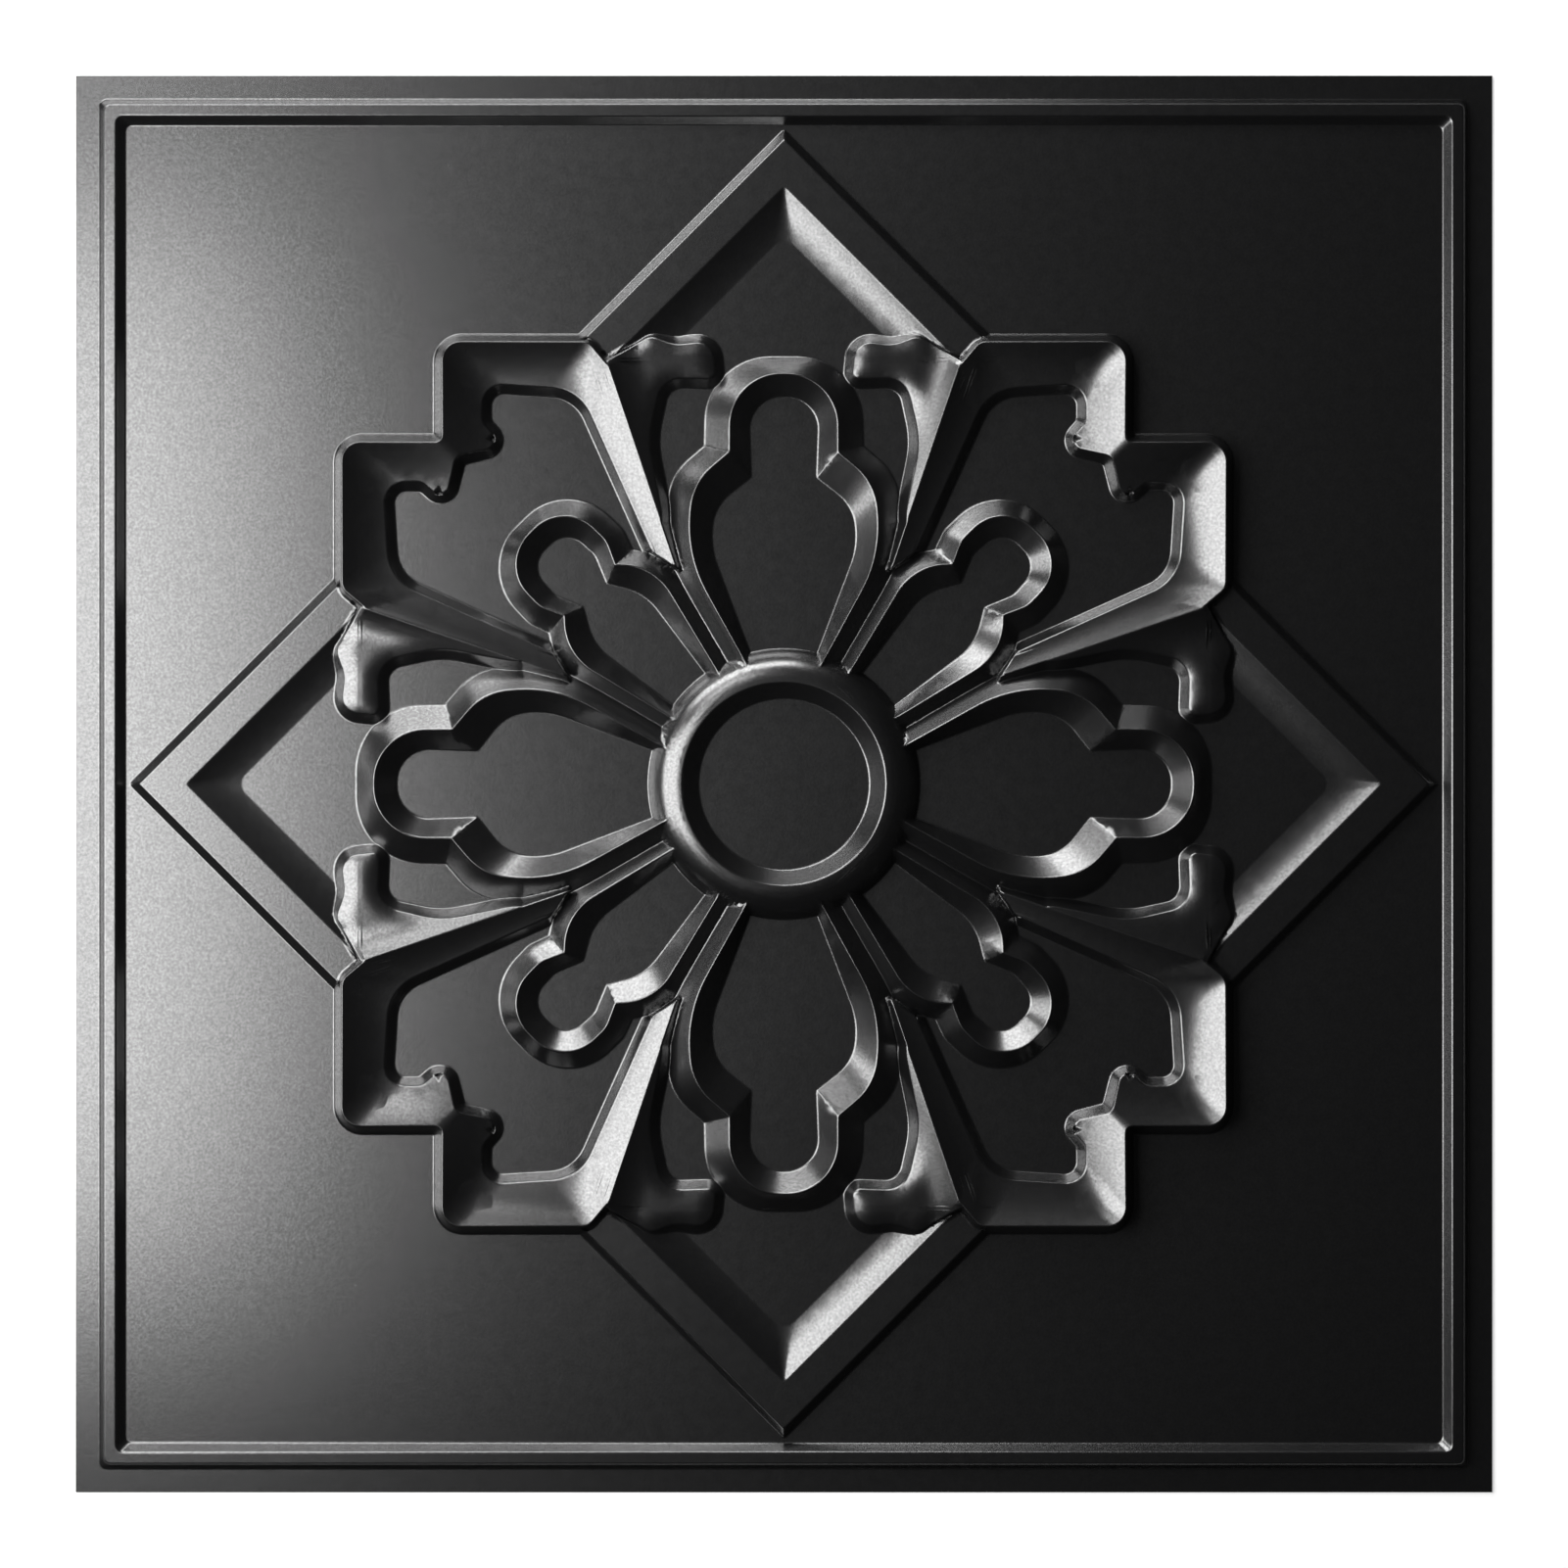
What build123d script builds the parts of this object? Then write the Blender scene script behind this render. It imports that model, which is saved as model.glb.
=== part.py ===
from build123d import *
import os
from math import atan2, cos, sqrt, tan

# A formed wall and ceiling panel: one thin sheet with a rosette in relief.
# Millimetres, face up, origin at the middle of the back, which lies on z = 0.
# Heights are counted from the flat front of the sheet.

# Sheet
PANEL_SIDE = 603.25
SHEET = 0.8
WALL_INSET = 0.45

# Raised bead round the border, half widths from the middle of the panel
BEAD_OUTER_FOOT = 292.3
BEAD_OUTER_TOP = 290.0
BEAD_INNER_TOP = 285.0
BEAD_INNER_FOOT = 280.5
BEAD_HEIGHT = 3.0
BEAD_CORNER = 3.0

# Diamond band, each value the reach of its points along X and Y
DIAMOND_OUTER_FOOT = 279.5
DIAMOND_OUTER_TOP = 275.0
DIAMOND_INNER_TOP = 254.5
DIAMOND_INNER_FOOT = 233.5
DIAMOND_HEIGHT = 4.0
DIAMOND_CORNER = 1.0
DIAMOND_COVE_CORNER = 6.0

# Ring and disc in the middle
DISC_RADIUS = 36.4
DISC_HEIGHT = 5.0
RING_LIP_RADIUS = 43.2
RING_HEIGHT = 11.5
RING_FOOT_RADIUS = 57.5

# Petals: crest heights, and the radius inside which the ring takes over
LONG_PETAL_HEIGHT = 8.2
SHORT_PETAL_HEIGHT = 6.6
PETAL_START_RADIUS = 44.0

# Right half of each petal outline, from the ring outwards: across, along, corner radius
LONG_PETAL_INNER = [(13.9, 54.0, 0), (31.3, 100.5, 36), (29.75, 118.2, 20), (14.0, 130.5, 0),
                    (15.3, 165.0, 14)]
LONG_PETAL_CREST = [(13.5, 47.0, 0), (41.5, 97.0, 60), (38.55, 127.8, 26), (23.0, 141.0, 0),
                    (22.8, 174.0, 22)]
LONG_PETAL_OUTER = [(21.4, 43.5, 0), (50.5, 95.5, 60), (48.5, 131.4, 24), (33.8, 144.0, 0),
                    (33.0, 182.0, 28)]
SHORT_PETAL_INNER = [(9.4, 53.5, 0), (15.6, 99.4, 25), (7.2, 113.7, 0), (12.3, 126.0, 8),
                     (11.2, 142.6, 10)]
SHORT_PETAL_CREST = [(12.2, 47.0, 0), (26.85, 105.3, 25), (15.2, 116.5, 0), (19.8, 126.5, 12),
                     (19.4, 151.6, 18)]
SHORT_PETAL_OUTER = [(19.0, 45.0, 0), (33.5, 103.0, 25), (25.1, 116.3, 0), (28.2, 125.0, 10),
                     (27.5, 157.9, 25)]

# Frame of one quarter: the half above the diagonal, from the diagonal anticlockwise.
# Its arms narrow towards the petals, and its crest rises evenly along the diagonal.
FRAME_OUTLINE = [(146.9, 146.9, 1), (146.9, 189.4, 10), (82.0, 189.4, 8), (72.6, 178.3, 0),
                 (43.1, 90.6, 0)]
FRAME_COVE = [(118.0, 118.0, 4), (126.6, 168.4, 7), (88.0, 166.0, 18), (82.0, 152.6, 0),
              (58.0, 99.0, 0)]
FRAME_OPENING = [(137.6, 137.6, 3), (116.3, 142.9, 5), (126.6, 154.2, 4), (126.6, 168.4, 7),
                 (88.0, 166.0, 18), (58.0, 99.0, 0)]
FRAME_WALL = 4.0
OPENING_WALL = 3.6
OPENING_STAGES = 2
ARM_NOTCH = (74.5, 177.7)
ARM_TIP = (45.0, 90.0)
ARM_NOTCH_HEIGHT = 10.0
ARM_TIP_HEIGHT = 6.0
OPENING_HEIGHT = 4.6

# Scroll beside each arm of the frame, anticlockwise from its notch
SCROLL_OUTLINE = [(80.0, 179.0, 0), (57.0, 192.5, 8), (46.0, 188.5, 12), (29.0, 190.5, 9),
                  (27.0, 170.0, 5), (50.5, 170.9, 9), (56.0, 146.0, 40), (50.0, 116.0, 30),
                  (50.0, 89.0, 0)]
SCROLL_WALL = 4.0
SCROLL_HEIGHT = 4.6
SCROLL_COVE_WIDTH = 14.0
RIDGE_RISE = 0.3
RIDGE_BACK_WIDTH = 3.0
RIDGE_SEAT = 1.0
RIDGE_OVERRUN = 15.0

TALLER_THAN_RELIEF = 30.0
SMALLEST_RADIUS = 0.3


def diagonal(x, y):
    """Distance of a point from the middle of the panel, along the diagonal."""
    return (x + y) / sqrt(2)


CREST_RISE = (ARM_NOTCH_HEIGHT - ARM_TIP_HEIGHT) / (diagonal(*ARM_NOTCH) - diagonal(*ARM_TIP))
CREST_START = ARM_TIP_HEIGHT - CREST_RISE * diagonal(*ARM_TIP)


def corner_turn(corners, i):
    """Directions into and out of a corner of a closed outline."""
    x, y, _ = corners[i]
    before = corners[i - 1]
    after = corners[(i + 1) % len(corners)]
    arrive = Vector(x - before[0], y - before[1]).normalized()
    leave = Vector(after[0] - x, after[1] - y).normalized()
    return arrive, leave


def grown(corners, grow):
    """Rounded corners of a closed anticlockwise outline, moved outwards by grow."""
    moved = []
    for i, (x, y, radius) in enumerate(corners):
        arrive, leave = corner_turn(corners, i)
        normals = Vector(arrive.Y + leave.Y, -arrive.X - leave.X)
        shift = normals * (grow / (1 + arrive.dot(leave)))
        turns_left = arrive.cross(leave).Z > 0
        if radius > 0:
            radius = max(radius + (grow if turns_left else -grow), SMALLEST_RADIUS)
        moved.append((x + shift.X, y + shift.Y, radius))
    return moved


def rounded_wire(corners, level, rise=0.0):
    """Closed wire through rounded corners, at a level that may rise along the diagonal."""

    def lifted(point):
        return Vector(point.X, point.Y, level + rise * diagonal(point.X, point.Y))

    ends = []
    edges = []
    for i, (x, y, radius) in enumerate(corners):
        arrive, leave = corner_turn(corners, i)
        corner = Vector(x, y)
        half_turn = abs(atan2(arrive.cross(leave).Z, arrive.dot(leave))) / 2
        reach = radius * tan(half_turn)
        start = corner - arrive * reach
        end = corner + leave * reach
        ends.append((start, end))
        if radius > 0:
            middle = corner + (leave - arrive).normalized() * (radius / cos(half_turn) - radius)
            edges.append(Edge.make_three_point_arc(lifted(start), lifted(middle), lifted(end)))
    for i, (start, _) in enumerate(ends):
        edges.append(Edge.make_line(lifted(ends[i - 1][1]), lifted(start)))
    return Wire(edges)


def both_sides(half):
    """Closed outline from its right half, mirrored about the Y axis."""
    return half + [(-x, y, radius) for x, y, radius in reversed(half)]


def both_halves(half):
    """Closed outline from the half above the diagonal, whose first corner lies on it."""
    return half + [(y, x, radius) for x, y, radius in reversed(half[1:])]


def square(reach, radius):
    return [(reach, -reach, radius), (reach, reach, radius), (-reach, reach, radius),
            (-reach, -reach, radius)]


def diamond(reach, radius):
    return [(reach, 0, radius), (0, reach, radius), (-reach, 0, radius), (0, -reach, radius)]


def between(low, low_level, high, high_level, high_rise=0.0):
    """Solid with straight sides from one outline up to another."""
    low_wire = rounded_wire(low, low_level)
    high_wire = rounded_wire(high, high_level, high_rise)
    return Solid.make_loft([low_wire, high_wire], ruled=True)


def upright(corners, level):
    """Upright block on an outline, taller than all the relief."""
    return between(corners, level, corners, level + TALLER_THAN_RELIEF)


def quarters(shape):
    """Four copies of a shape, a quarter turn apart."""
    return [Rotation(0, 0, 90 * turn) * shape for turn in range(4)]


def bead(flat, inset):
    top = flat + BEAD_HEIGHT
    outer = between(square(BEAD_OUTER_FOOT - inset, BEAD_CORNER), flat,
                    square(BEAD_OUTER_TOP - inset, BEAD_CORNER), top)
    inner = between(square(BEAD_INNER_FOOT + inset, BEAD_CORNER), flat,
                    square(BEAD_INNER_TOP + inset, BEAD_CORNER), top)
    return outer - inner


def diamond_band(flat, inset):
    top = flat + DIAMOND_HEIGHT
    outer = between(diamond(DIAMOND_OUTER_FOOT - inset, DIAMOND_CORNER), flat,
                    diamond(DIAMOND_OUTER_TOP - inset, DIAMOND_CORNER), top)
    inner = between(diamond(DIAMOND_INNER_FOOT, DIAMOND_COVE_CORNER), flat,
                    diamond(DIAMOND_INNER_TOP, DIAMOND_CORNER), top)
    openings = quarters(upright(both_halves(FRAME_OPENING), flat))
    return outer - inner - openings


def petal(inner, crest, outer, height, flat):
    """Closed ridge with a sharp crest between two outlines on the flat."""
    body = between(both_sides(outer), flat, both_sides(crest), flat + height)
    funnel = between(both_sides(inner), flat, both_sides(crest), flat + height)
    return body - funnel


def quarter_frame(flat, inset):
    """Frame of one quarter: a steep wall outside, a cove inside and a stepped opening."""
    outline = both_halves(FRAME_OUTLINE)
    crest = grown(outline, -FRAME_WALL / 2 - inset)
    crest_level = flat + CREST_START
    body = between(grown(outline, FRAME_WALL / 2 - inset), flat, crest, crest_level, CREST_RISE)
    cove = between(grown(both_halves(FRAME_COVE), OPENING_WALL / 2), flat + OPENING_HEIGHT,
                   crest, crest_level, CREST_RISE)
    opening = both_halves(FRAME_OPENING)
    step = between(grown(opening, inset - OPENING_WALL / 2), flat,
                   grown(opening, inset + OPENING_WALL * (OPENING_STAGES - 0.5)),
                   flat + OPENING_HEIGHT * OPENING_STAGES)
    petal_seat = Rotation(0, 0, -45) * upright(both_sides(SHORT_PETAL_CREST), flat)
    return body - cove - step - petal_seat


def scroll(flat, inset):
    """Leaf scroll beside an arm, with a cove that rises to the ridge of the arm."""
    body = between(grown(SCROLL_OUTLINE, SCROLL_WALL / 2 - inset), flat,
                   grown(SCROLL_OUTLINE, -SCROLL_WALL / 2 - inset), flat + SCROLL_HEIGHT)
    notch = Vector(*ARM_NOTCH)
    tip = Vector(*ARM_TIP)
    along = (notch - tip).normalized()
    left = Vector(-along.Y, along.X)
    seat = flat + SCROLL_HEIGHT - RIDGE_SEAT

    def section(point):
        height = CREST_START + CREST_RISE * diagonal(point.X, point.Y) + RIDGE_RISE
        foot = point + left * SCROLL_COVE_WIDTH
        back = point - left * RIDGE_BACK_WIDTH
        return Wire.make_polygon([Vector(foot.X, foot.Y, seat), Vector(back.X, back.Y, seat),
                                  Vector(point.X, point.Y, flat + height)])

    slope = Solid.make_loft([section(tip), section(notch + along * RIDGE_OVERRUN)], ruled=True)
    rim = upright(grown(SCROLL_OUTLINE, -SCROLL_WALL / 2 - inset - RIDGE_RISE), flat)
    return body + (slope & rim)


def ring(flat, inset):
    """Rounded ring with a sunk disc, turned about the middle of the panel."""
    with BuildSketch(Plane.XZ) as section:
        with BuildLine():
            lip = (RING_LIP_RADIUS + inset, flat + RING_HEIGHT)
            foot = (RING_FOOT_RADIUS - inset, flat)
            Polyline((0, flat), (0, flat + DISC_HEIGHT),
                     (DISC_RADIUS + inset, flat + DISC_HEIGHT), lip)
            TangentArc(lip, foot, tangent=(1, 0))
            Line(foot, (0, flat))
        make_face()
    return revolve(section.sketch, Axis.Z)


def relief(flat, inset):
    """All that rises from the flat of the sheet, as one solid."""
    long_petal = petal(LONG_PETAL_INNER, LONG_PETAL_CREST, LONG_PETAL_OUTER,
                       LONG_PETAL_HEIGHT, flat)
    short_petal = petal(SHORT_PETAL_INNER, SHORT_PETAL_CREST, SHORT_PETAL_OUTER,
                        SHORT_PETAL_HEIGHT, flat)
    right_scroll = scroll(flat, inset)
    left_scroll = mirror(right_scroll, about=Plane.YZ)
    quarter = [long_petal, Rotation(0, 0, -45) * short_petal, quarter_frame(flat, inset),
               right_scroll, left_scroll]
    rosette = []
    for shape in quarter:
        rosette += quarters(shape)
    hub = Cylinder(PETAL_START_RADIUS, 2 * TALLER_THAN_RELIEF)
    middle = rosette[0].fuse(*rosette[1:]) - hub
    return middle.fuse(diamond_band(flat, inset), ring(flat, inset), bead(flat, inset))


def panel():
    sheet = Pos(0, 0, SHEET / 2) * Box(PANEL_SIDE, PANEL_SIDE, SHEET)
    return sheet.fuse(relief(SHEET, 0)) - relief(0, WALL_INSET)


if __name__ == "__main__":
    os.makedirs("parts", exist_ok=True)
    export_step(panel(), "parts/panel.step")
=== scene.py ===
import math

import bpy
import numpy as np
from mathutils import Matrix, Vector
from mathutils.bvhtree import BVHTree
from mathutils.geometry import delaunay_2d_cdt
from mathutils.kdtree import KDTree


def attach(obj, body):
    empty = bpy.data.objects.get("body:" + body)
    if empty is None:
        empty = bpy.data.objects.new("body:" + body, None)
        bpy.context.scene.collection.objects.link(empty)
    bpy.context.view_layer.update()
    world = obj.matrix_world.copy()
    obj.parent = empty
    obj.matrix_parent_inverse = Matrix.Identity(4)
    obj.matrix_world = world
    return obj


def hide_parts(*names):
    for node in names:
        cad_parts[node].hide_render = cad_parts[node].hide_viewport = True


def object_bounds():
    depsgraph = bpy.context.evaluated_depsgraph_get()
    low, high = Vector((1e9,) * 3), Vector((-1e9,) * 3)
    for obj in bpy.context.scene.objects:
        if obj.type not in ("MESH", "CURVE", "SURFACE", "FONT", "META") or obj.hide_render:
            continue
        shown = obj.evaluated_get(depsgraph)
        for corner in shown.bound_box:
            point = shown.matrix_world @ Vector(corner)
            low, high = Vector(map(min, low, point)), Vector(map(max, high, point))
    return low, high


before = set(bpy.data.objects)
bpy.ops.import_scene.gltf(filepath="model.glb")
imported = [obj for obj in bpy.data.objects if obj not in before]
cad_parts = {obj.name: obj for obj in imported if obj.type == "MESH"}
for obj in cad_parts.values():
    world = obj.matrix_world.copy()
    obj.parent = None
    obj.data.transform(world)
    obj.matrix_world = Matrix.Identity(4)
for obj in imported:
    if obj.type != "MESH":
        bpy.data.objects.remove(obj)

# A formed wall panel: one thin sheet pressed over moulds, lying face up on a pale floor.
# Mould sizes are in millimetres, with heights from the flat of the sheet.

bl_info = {
    "name": "Formed rosette panel",
    "version": (1, 0, 0),
    "blender": (4, 5, 0),
    "location": "3D View > Sidebar > Panel",
    "description": "Presses a rosette panel from one sheet and sets it on a stage",
    "category": "Add Mesh",
}

MM = 0.001
CAD_BOX = [list(corner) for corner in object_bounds()]
HALF_SIDE = (CAD_BOX[1][0] - CAD_BOX[0][0]) / 2 / MM

# Half widths of the bead round the border, and the reach of the diamond's points
BEAD_OUTER_FOOT, BEAD_OUTER_TOP = 291.4, 289.0
BEAD_INNER_TOP, BEAD_INNER_FOOT = 284.0, 280.6
BEAD_CORNER = 3.0
DIAMOND_OUTER_FOOT, DIAMOND_OUTER_TOP = 278.7, 274.0
DIAMOND_INNER_TOP, DIAMOND_INNER_FOOT = 253.9, 233.5
DIAMOND_CORNER, DIAMOND_COVE_CORNER = 1.0, 6.0
DIAMOND_END = 180.0

# Radii of the disc and the ring
DISC_RADIUS, RING_LIP_RADIUS, RING_FOOT_RADIUS = 36.4, 43.2, 57.5

# Right half of each petal outline, from the ring outwards: across, along, corner radius
LONG_PETAL_INNER = [(13.9, 54.0, 0), (31.3, 100.5, 36), (29.75, 118.2, 20), (14.0, 130.5, 0),
                    (15.3, 165.0, 14)]
LONG_PETAL_CREST = [(13.5, 47.0, 0), (41.5, 97.0, 60), (38.55, 127.8, 26), (23.0, 141.0, 0),
                    (22.8, 174.0, 22)]
LONG_PETAL_OUTER = [(21.4, 43.5, 0), (50.5, 95.5, 60), (48.5, 131.4, 24), (33.8, 144.0, 0),
                    (33.0, 182.0, 28)]
SHORT_PETAL_INNER = [(9.4, 53.5, 0), (15.6, 99.4, 25), (7.2, 113.7, 0), (12.3, 126.0, 8),
                     (11.2, 142.6, 10)]
SHORT_PETAL_CREST = [(12.2, 47.0, 0), (26.85, 105.3, 25), (15.2, 116.5, 0), (19.8, 126.5, 12),
                     (19.4, 151.6, 18)]
SHORT_PETAL_OUTER = [(19.0, 45.0, 0), (33.5, 103.0, 25), (25.1, 116.3, 0), (28.2, 125.0, 10),
                     (27.5, 157.9, 25)]

# Frame of one quarter, the half above the diagonal, anticlockwise from the diagonal
FRAME_OUTLINE = [(146.9, 146.9, 1), (146.9, 189.4, 10), (82.0, 189.4, 8), (72.6, 178.3, 0),
                 (43.1, 90.6, 0)]
FRAME_COVE = [(118.0, 118.0, 0), (126.6, 168.4, 7), (88.0, 166.0, 18), (82.0, 152.6, 0),
              (58.0, 99.0, 0)]
FRAME_OPENING = [(137.6, 137.6, 3), (116.3, 142.9, 6), (126.6, 154.2, 5), (126.6, 168.4, 7),
                 (88.0, 166.0, 18), (58.0, 99.0, 0)]
FRAME_WALL, OPENING_WALL, COVE_OVERRUN = 4.0, 3.6, 1.0
ARM_NOTCH, ARM_TIP = (74.5, 177.7), (45.0, 90.0)

# Scroll beside an arm of the frame, anticlockwise from its notch
SCROLL_OUTLINE = [(80.0, 179.0, 0), (57.0, 192.5, 8), (46.0, 188.5, 12), (29.0, 190.5, 9),
                  (27.0, 170.0, 5), (50.5, 170.9, 9), (56.0, 146.0, 40), (50.0, 116.0, 30),
                  (50.0, 89.0, 0)]
SCROLL_WALL, SCROLL_COVE_WIDTH, SCROLL_EDGE_WIDTH = 4.0, 16.0, 7.0
SCROLL_GRID = 2.5
RIDGE_POINTS = 40
RIDGE_BACK_SLOPE = 3.0

# How finely the moulds are sampled, and the height from which they are touched
CURVE_ERROR = 0.025
RUN_STEP = 20.0
END_STEPS, LONGEST_END = (1.0, 3.0), 0.25
SMALLEST_RADIUS = 0.3
DIAMOND_COVE_ROWS, FRAME_COVE_ROWS, RING_ROWS = 5, 6, 8
EIGHTHS = 8
MOULD_MERGE = 1e-5
ABOVE_ALL = 100.0

# Disc over which the sheet rounds the moulds: its rings, points of the first ring, end of its pull
PRESS_RINGS, PRESS_POINTS, PRESS_END = 3, 6, 1.15

# Mesh of the sheet, with its rows beside each crease in bend radii
FRONT_ROWS, BACK_ROWS = (0.5, 1.05), (1.05,)
CORNER_GUARDS, FLAT_RISE = (-3.0, -2.0, 2.0, 3.0), 0.01
CLOSEST_POINTS = 0.28
SNAP = CLOSEST_POINTS / 3
EDGE_SLACK = 1e-4
ON_DIAGONAL = 1e-6
PLAN_MERGE = 1e-6
REFINE_ROUNDS, REFINE_ERROR, REFINE_LENGTH = 3, 0.05, 0.8

# Most that a slope thickens the sheet upright, tilt below which a face is rim, merging in metres
THICKEST, RIM_TILT, MIRROR_MERGE = 1.5, 0.02, 2e-6

# Kinds of triangulation: all between the points, or only what the edges enclose
WHOLE_HULL, INSIDE_EDGES = 0, 1

# Detail of the noises in the finish, and the middle of their range
GRAIN_DETAIL, MOTTLE_DETAIL, NOISE_MIDDLE = 2.0, 1.0, 0.5

# Floor, in metres
FLOOR_SIZE, FLOOR_DROP = 6.0, 0.0002


class PanelSheet(bpy.types.PropertyGroup):
    """Sizes and finish of the formed sheet."""
    thickness: bpy.props.FloatProperty(
        name="Sheet thickness", description="Thickness of the sheet before forming, in millimetres",
        default=0.8, min=0.2, max=3.0)
    bend: bpy.props.FloatProperty(
        name="Bend radius",
        description="How far the sheet rounds off a sharp mould edge, in millimetres",
        default=0.75, min=0.3, max=3.0)
    bead_height: bpy.props.FloatProperty(
        name="Bead height", description="Height of the bead round the border, in millimetres",
        default=4.2)
    diamond_height: bpy.props.FloatProperty(
        name="Diamond height", description="Height of the diamond band, in millimetres", default=4.6)
    disc_height: bpy.props.FloatProperty(
        name="Disc height", description="Height of the disc inside the ring, in millimetres",
        default=5.0)
    ring_height: bpy.props.FloatProperty(
        name="Ring height", description="Height of the ring, in millimetres", default=11.5)
    long_petal_height: bpy.props.FloatProperty(
        name="Long petal height", description="Crest height of the long petals, in millimetres",
        default=8.2)
    short_petal_height: bpy.props.FloatProperty(
        name="Short petal height", description="Crest height of the short petals, in millimetres",
        default=6.6)
    notch_height: bpy.props.FloatProperty(
        name="Arm height at the notch",
        description="Height of an arm's ridge at its outer end, in millimetres",
        default=10.0)
    tip_height: bpy.props.FloatProperty(
        name="Arm height at the tip",
        description="Height of an arm's ridge at its inner end, in millimetres",
        default=6.0)
    step_height: bpy.props.FloatProperty(
        name="Step height",
        description="Height of the frame's inner edge and of the scrolls, in millimetres",
        default=4.6)
    dome_height: bpy.props.FloatProperty(
        name="Scroll dome", description="How far a scroll swells above its edge, in millimetres",
        default=1.2)
    sag: bpy.props.FloatProperty(
        name="Cove sag", description="How hollow the coves are, from 0, straight, to 1", default=0.6,
        min=0.0, max=1.0)
    colour: bpy.props.FloatVectorProperty(
        name="Sheet colour", description="Colour of the plastic", subtype="COLOR", size=3,
        default=(0.003, 0.003, 0.0032), min=0.0, max=1.0)
    roughness: bpy.props.FloatProperty(
        name="Roughness", description="Roughness of the satin surface", default=0.26, min=0.0, max=1.0)
    gloss: bpy.props.FloatProperty(
        name="Gloss", description="Strength of the reflections", default=1.0, min=0.0, max=1.0)
    coat: bpy.props.FloatProperty(
        name="Coat", description="Strength of the smooth skin over the plastic",
        default=0.6, min=0.0, max=1.0)
    coat_roughness: bpy.props.FloatProperty(
        name="Coat roughness", description="Roughness of the smooth skin",
        default=0.23, min=0.0, max=1.0)
    grain: bpy.props.FloatProperty(
        name="Grain", description="Spacing of the surface grain, in millimetres", default=1.1, min=0.1)
    grain_depth: bpy.props.FloatProperty(
        name="Grain depth", description="Depth of the surface grain, in millimetres",
        default=0.02, min=0.0)
    speckle: bpy.props.FloatProperty(
        name="Speckle", description="How far the grain varies the smooth skin", default=2.5, min=0.0)
    mottle: bpy.props.FloatProperty(
        name="Mottle", description="Spacing of the uneven gloss, in millimetres", default=5.0, min=0.1)
    mottle_depth: bpy.props.FloatProperty(
        name="Mottle depth", description="How far the roughness varies", default=0.04, min=0.0)


class PanelStage(bpy.types.PropertyGroup):
    """Floor, lamps and camera."""
    floor: bpy.props.FloatVectorProperty(
        name="Floor colour", description="Colour of the floor", subtype="COLOR", size=3,
        default=(0.7, 0.7, 0.7), min=0.0, max=1.0)
    glow: bpy.props.FloatProperty(
        name="Floor glow", description="How much lighter the camera sees the floor", default=0.55)
    ambient: bpy.props.FloatProperty(
        name="Ambient", description="Strength of the even light from all round", default=0.018)
    side_place: bpy.props.FloatVectorProperty(
        name="Side lamp", description="Place of the large soft lamp on the left", subtype="XYZ",
        unit="LENGTH", default=(-0.7, 0.025, 0.7))
    side_target: bpy.props.FloatVectorProperty(
        name="Side target", description="Point that the side lamp faces", subtype="XYZ",
        unit="LENGTH", default=(-0.07, 0.025, 0.0))
    side_width: bpy.props.FloatProperty(
        name="Side lamp width", description="Width of the side lamp", default=0.66, unit="LENGTH")
    side_height: bpy.props.FloatProperty(
        name="Side lamp height", description="Height of the side lamp", default=0.95, unit="LENGTH")
    side_power: bpy.props.FloatProperty(
        name="Side power", description="Power of the side lamp, in watts", default=16.0)
    top_place: bpy.props.FloatVectorProperty(
        name="Top lamp", description="Place of the low lamp beyond the upper edge", subtype="XYZ",
        unit="LENGTH", default=(-0.35, 0.9, 0.4))
    top_target: bpy.props.FloatVectorProperty(
        name="Top target", description="Point that the top and corner lamps face", subtype="XYZ",
        unit="LENGTH", default=(0.0, 0.0, 0.0))
    top_width: bpy.props.FloatProperty(
        name="Top lamp width", description="Width of the top lamp", default=1.0, unit="LENGTH")
    top_height: bpy.props.FloatProperty(
        name="Top lamp height", description="Height of the top lamp", default=0.3, unit="LENGTH")
    top_power: bpy.props.FloatProperty(
        name="Top power", description="Power of the top lamp, in watts", default=10.0)
    corner_place: bpy.props.FloatVectorProperty(
        name="Corner lamp", description="Place of the lamp beyond the upper left corner", subtype="XYZ",
        unit="LENGTH", default=(-0.45, 0.74, 0.92))
    corner_size: bpy.props.FloatProperty(
        name="Corner lamp size", description="Width and height of the corner lamp",
        default=0.45, unit="LENGTH")
    corner_power: bpy.props.FloatProperty(
        name="Corner power", description="Power of the corner lamp, in watts", default=3.6)
    camera_height: bpy.props.FloatProperty(
        name="Camera height", description="Height of the camera above the floor",
        default=2.0, unit="LENGTH")
    view_width: bpy.props.FloatProperty(
        name="View width", description="Width of the floor that the camera sees",
        default=0.668, unit="LENGTH")


def corner_turn(corners, i):
    """Directions into and out of a corner of a closed outline."""
    here = np.array(corners[i][:2], dtype=float)
    arrive = here - np.array(corners[i - 1][:2])
    leave = np.array(corners[(i + 1) % len(corners)][:2]) - here
    return arrive / np.linalg.norm(arrive), leave / np.linalg.norm(leave)


def cross(a, b):
    """Cross product of two directions in plan."""
    return a[0] * b[1] - a[1] * b[0]


def grown(corners, grow):
    """Rounded corners of a closed anticlockwise outline, moved outwards by grow."""
    moved = []
    for i, (x, y, radius) in enumerate(corners):
        arrive, leave = corner_turn(corners, i)
        shift = grow / (1 + arrive @ leave)
        if radius > 0:
            radius = max(radius + (grow if cross(arrive, leave) > 0 else -grow), SMALLEST_RADIUS)
        moved.append((x + shift * (arrive[1] + leave[1]), y - shift * (arrive[0] + leave[0]), radius))
    return moved


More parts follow.
